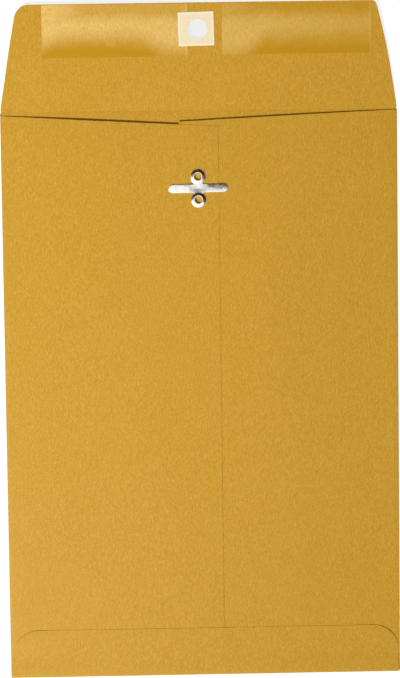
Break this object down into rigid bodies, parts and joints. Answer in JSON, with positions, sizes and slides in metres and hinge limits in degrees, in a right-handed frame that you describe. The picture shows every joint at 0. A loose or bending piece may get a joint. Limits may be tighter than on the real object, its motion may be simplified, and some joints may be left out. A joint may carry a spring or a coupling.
{
  "type": "clasp envelope",
  "caption": "Flat kraft paper envelope with a centre seam, an open gummed flap with a patched hole, and a stamped metal clasp whose prongs bend up to hold the flap.",
  "frame": {"origin": "centre of the front panel's outer face, on the surface that the envelope lies on", "axes": "+X across the pocket, to the right as the back is seen with the flap at the top; +Y from the bottom fold towards the closing flap; +Z out of the back, where the clasp is"},
  "size_m": [0.1772, 0.3029, 0.0027],
  "materials": {
    "kraft": "uncoated kraft, lightly mottled",
    "adhesive": "dried seam adhesive",
    "gum": "dry remoistenable gum, glossy",
    "patch": "tough cream paper",
    "clasp_metal": "bright tinned sheet steel"
  },
  "bodies": {
    "envelope": {"kraft_sheet": "kraft", "centre_seam_glue": "adhesive", "bottom_flap_glue": "adhesive", "flap_gum_left": "gum", "flap_gum_right": "gum", "flap_hole_patch": "patch", "clasp_base": "clasp_metal"},
    "prong_left": {"clasp_prong_left": "clasp_metal"},
    "prong_right": {"clasp_prong_right": "clasp_metal"}
  },
  "joints": [
    {"name": "prong_left_bend", "type": "hinge", "parent": "envelope", "child": "prong_left", "pos_m": [-0.0037, 0.09306, 0.00175], "axis": [-0.0175, 0.9998, 0], "range_deg": [0, 90]},
    {"name": "prong_right_bend", "type": "hinge", "parent": "envelope", "child": "prong_right", "pos_m": [0.0021, 0.09316, 0.00175], "axis": [0.0175, -0.9998, 0], "range_deg": [0, 90]}
  ]
}
